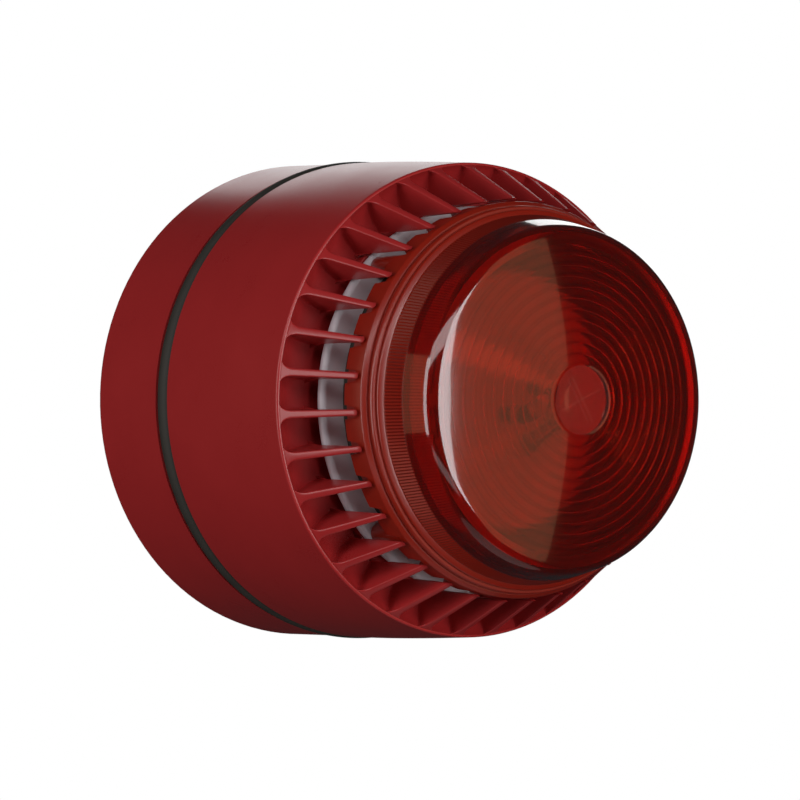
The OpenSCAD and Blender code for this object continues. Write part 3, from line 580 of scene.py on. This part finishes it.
def lensProfile():
    base = head["finEndHeight"]
    skirt = lensRadius
    baseR, baseZ = skirt - 2.7, base + 3.4
    crown, cornerZ = lensFront, base + lens["wallHeight"]
    cornerR = baseR - lens["lean"]
    drop = crown - cornerZ - 0.8
    domeR = (cornerR ** 2 + drop ** 2) / (2 * drop)

    def dome(r):
        return crown - domeR + np.sqrt(domeR ** 2 - np.asarray(r, float) ** 2)

    lean = np.arctan2(baseR - cornerR, cornerZ - baseZ)
    c = lens["corner"]
    start = np.array([baseR - c * np.cos(lean), baseZ - c * np.sin(lean) - crown + domeR])
    way = np.array([-np.sin(lean), np.cos(lean)])
    b = -start @ way
    mid = start + way * (b + np.sqrt(b ** 2 - start @ start + (domeR - c) ** 2))
    turn = np.degrees(np.arctan2(mid[1], mid[0]))
    mid = mid + np.array([0, crown - domeR])
    crownFrom = mid[0] + c * np.cos(np.radians(turn))
    outer = np.linspace(crownFrom, lens["eye"] + 0.5, 18)[1:]
    eyeR = np.array([lens["eye"] + 0.1, lens["eye"], lens["eye"] - 0.25, lens["eye"] - 0.35,
                     4.0, 2.0, 0.0])
    eyeZ = dome(eyeR) - lens["recess"] * np.array([0.02, 0.12, 0.88, 1, 1, 1, 1])
    innerLean = lens["wall"] / np.cos(lean)
    ringEdge = mid[0] - 0.6
    step = (ringEdge - lens["eye"]) / lens["rings"]
    starts = lens["eye"] + step * np.arange(lens["rings"])
    eye = np.array([0.0, 2.0, 4.5, lens["eye"]])
    teeth = []
    for a in starts:
        half = a + step * 0.5
        teeth += [[a, dome(a) - lens["wall"]],
                  [half, dome(half) - lens["wall"] - lens["ringDepth"] * 0.42],
                  [a + step * 0.94, dome(a + step) - lens["wall"] - lens["ringDepth"]]]
    sealTop = -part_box("lens_seal")[0][1] / mm
    tubeOut, tubeIn = baseR - 1.8, baseR - 3.4
    skirtBack = base - 5
    ribTop = baseZ + lens["ribHeight"]
    ribRow = [baseZ + 0.15, baseZ + 0.4, ribTop - 0.15, ribTop]
    wallR = [baseR - np.tan(lean) * (z - baseZ) for z in ribRow]
    faintTop = mid[1] + c * np.sin(lean)
    faintRow = [ribTop + 0.2, ribTop + 0.35, faintTop - 0.35, faintTop - 0.15]
    faintR = [baseR - np.tan(lean) * (z - baseZ) for z in faintRow]
    pieces = [
        ([[skirt, skirtBack], [skirt, skirtBack + 0.3], [skirt, base + 0.1],
          [skirt - 0.1, base + 0.3],
          [skirt - 0.7, base + 0.85]], "skirt"),
        (arc((skirt - 1.8, base + 1.6), 0.9, -50, 50, 9), ""),
        (arc((skirt - 2.2, base + 2.7), 0.5, -50, 60, 8), ""),
        ([[baseR, baseZ]], ""),
        (np.stack([wallR, ribRow], axis=-1), "rib"),
        (np.stack([faintR, faintRow], axis=-1), "faint"),
        (arc(mid, c, np.degrees(lean), turn, 14), ""),
        (np.stack([outer, dome(outer)], axis=-1), ""),
        (np.stack([eyeR, eyeZ], axis=-1), ""),
        (np.stack([eye, dome(eye) - lens["wall"] - lens["ringDepth"] / 2], axis=-1), ""),
        (teeth, ""),
        ([[cornerR - innerLean + 0.5, cornerZ - 1.4], [cornerR - innerLean + 0.75, cornerZ - 2.4],
          [baseR - innerLean, baseZ - 0.4], [tubeIn, baseZ - 1.6], [tubeIn, sealTop],
          [tubeOut, sealTop], [tubeOut, base - 0.5], [skirt - lens["skirtThick"], base - 0.5],
          [skirt - lens["skirtThick"], skirtBack]], "inner"),
    ]
    points, marks = [], []
    for chunk, mark in pieces:
        chunk = np.asarray(chunk, float)
        points.append(chunk)
        marks += [mark] * len(chunk)
    return np.concatenate(points), np.array(marks), skirtBack


# The profile is turned about the axis; its lowest skirt points lift between the castellations,
# and the rib rows step in and out from one angle to the next
def makeLens():
    outline, marks, skirtBack = lensProfile()
    count = lens["around"]
    phi = np.linspace(0, 2 * np.pi, count, endpoint=False) + np.radians(head["phase"])
    r = np.repeat(outline[:, :1], count, axis=1)
    z = np.repeat(outline[:, 1:], count, axis=1)
    pitch = 360 / head["fins"]
    off = (np.degrees(phi) - head["phase"] + pitch / 2) % pitch - pitch / 2
    lift = lens["toothHeight"] * (np.abs(off) <= lens["notch"] + 1e-6)
    outside = outline[:, 0] > lensRadius - lens["skirtThick"] - 0.1
    low = (outline[:, 1] < skirtBack + 0.35) & outside
    z[low] += lift[None, :]
    ribs = np.where(np.arange(count) % 2 == 0, lens["ribDepth"], -lens["ribDepth"])
    for mark, share in (("rib", 1.0), ("faint", 0.35)):
        rows = np.where(marks == mark)[0]
        r[rows[1:-1]] += share * ribs[None, :]
    grid = place(r, z, phi[None, :])
    parts = [(grid, gridFaces(len(outline), count, closeRows=True))]
    front = -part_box("lens_seal")[1][1] / mm
    for k in range(4):
        parts.append(peg(1.9, front, head["finEndHeight"] - 0.6, lensRadius - 2.3, 45 + 90 * k))
    return handOver(makePiece("lensCover", parts, 28), "head", "lens")


axisView = np.radians(34.58)
view = {"distance": 0.443, "point": (0.0, -0.03494, 0.0), "lens": 99.0}


def makeStage():
    mesh = bpy.data.meshes.new("paleFloor")
    side, low = 0.60, -1.30
    turn = np.linspace(0, 2 * np.pi, 96, endpoint=False)
    verts = np.stack([side * np.cos(turn), side * np.sin(turn), np.full(96, low)], axis=-1)
    mesh.from_pydata(verts.tolist(), [], [list(range(96))])
    floor = bpy.data.objects.new("paleFloor", mesh)
    bpy.context.scene.collection.objects.link(floor)
    pale = Finish("paleFloor")
    grain = pale.noise(60.0)
    pale.set(colour=pale.blendColours(grain, (0.78,) * 3, (0.84,) * 3), roughness=0.7)
    mesh.materials.append(pale.material)


# A soft box that faces the object, given by the angles it spans as the object sees it: turn from
# straight ahead towards the object's left, and rise above its middle; glow is its radiance
def softBox(name, turns, rises, glow, colour=(1, 1, 1)):
    distance = 1.0
    turn, rise = sum(turns) / 2, sum(rises) / 2
    width = 2 * distance * np.tan(np.radians(turns[1] - turns[0]) / 2) * np.cos(np.radians(rise))
    height = 2 * distance * np.tan(np.radians(rises[1] - rises[0]) / 2)
    light = bpy.data.lights.new(name, "AREA")
    light.shape = "RECTANGLE"
    light.size, light.size_y = width, height
    light.energy = glow * np.pi * width * height
    light.color = colour
    lamp = bpy.data.objects.new(name, light)
    bpy.context.scene.collection.objects.link(lamp)
    a, e = np.radians(turn), np.radians(rise)
    away = Vector((-np.sin(a) * np.cos(e), -np.cos(a) * np.cos(e), np.sin(e)))
    centre = Vector((0, -0.05, 0))
    lamp.location = centre + away * distance
    lamp.rotation_euler = away.to_track_quat("Z", "Y").to_euler()
    return lamp


boxes = [
    ("leftBox", (80, 102), (-18, 22), 3.4),
    ("frontBox", (-13.6, 8), (-22, 24), 5.2),
    ("topBox", (8, 84), (19, 34), 2.4),
    ("lowBox", (8, 80), (-36, -27), 0.7),
    ("brownBox", (-35, -13.6), (-34, 34), 0.75, (1.0, 0.42, 0.22)),
    ("farBox", (102, 125), (-16, 22), 0.5, (1.0, 0.45, 0.25)),
    ("rearBox", (196, 228), (-10, 35), 1.6),
]


def makeLights():
    for row in boxes:
        softBox(*row)
    world = bpy.data.worlds.new("studio")
    bpy.context.scene.world = world
    world.use_nodes = True
    tree = world.node_tree
    dim = tree.nodes["Background"]
    dim.inputs["Color"].default_value = (0.9, 0.93, 1.0, 1)
    dim.inputs["Strength"].default_value = 0.02
    bright = tree.nodes.new("ShaderNodeBackground")
    bright.inputs["Color"].default_value = (1, 1, 1, 1)
    path = tree.nodes.new("ShaderNodeLightPath")
    mix = tree.nodes.new("ShaderNodeMixShader")
    tree.links.new(path.outputs["Is Camera Ray"], mix.inputs[0])
    tree.links.new(dim.outputs[0], mix.inputs[1])
    tree.links.new(bright.outputs[0], mix.inputs[2])
    tree.links.new(mix.outputs[0], tree.nodes["World Output"].inputs["Surface"])


def makeCamera():
    data = bpy.data.cameras.new("camera")
    data.sensor_width = 36.0
    data.lens = view["lens"]
    data.clip_start, data.clip_end = 0.01, 20
    camera = bpy.data.objects.new("camera", data)
    bpy.context.scene.collection.objects.link(camera)
    toward = Vector((np.sin(axisView), np.cos(axisView), 0))
    camera.location = Vector(view["point"]) - toward * view["distance"]
    camera.rotation_euler = toward.to_track_quat("-Z", "Y").to_euler()
    bpy.context.scene.camera = camera


finishes = {
    "red_shell": redPlastic("redShell"),
    "black_rubber": softRubber("blackRubber"),
    "pale_plastic": moulded("palePlastic", shade(214, 214, 204), 0.42),
    "brass_metal": metal("brassMetal", shade(206, 170, 96), 0.22),
    "plated_steel": metal("platedSteel", shade(186, 188, 190), 0.2),
    "board_green": circuitBoard("boardGreen", shade(24, 92, 52), shade(46, 128, 74)),
    "switch_red": moulded("switchRed", shade(170, 30, 34), 0.3),
    "control_blue": moulded("controlBlue", shade(40, 62, 120), 0.3),
    "capacitor_dark": moulded("capacitorDark", shade(34, 40, 58), 0.28, grain=0.6),
    "copper_wire": winding("copperWire", shade(176, 98, 50)),
    "black_plastic": moulded("blackPlastic", shade(34, 34, 36), 0.45),
    "piezo_ceramic": moulded("piezoCeramic", shade(206, 202, 192), 0.35, grain=0.3),
    "grey_plastic": moulded("greyPlastic", colours["plate"], 0.36, 0.2, 0.01, 0.05),
    "board_white": circuitBoard("boardWhite", shade(226, 224, 214), shade(206, 206, 200)),
    "white_plastic": moulded("whitePlastic", shade(236, 234, 228), 0.25, variety=0.03),
    "tube_glass": clearGlass("tubeGlass"),
    "red_lens": redLens("redLens"),
}
print("finishes made:", len(finishes))
for name, node in frame["nodes"].items():
    dress(node, slotOf[name])

makeGasket()
makeHead()
print("head made")
makePlate()
makeLens()
print("gasket, plate and lens made")
makeStage()
makeLights()
makeCamera()
bpy.context.scene.view_settings.view_transform = "Standard"
print("stage, lights and camera made")
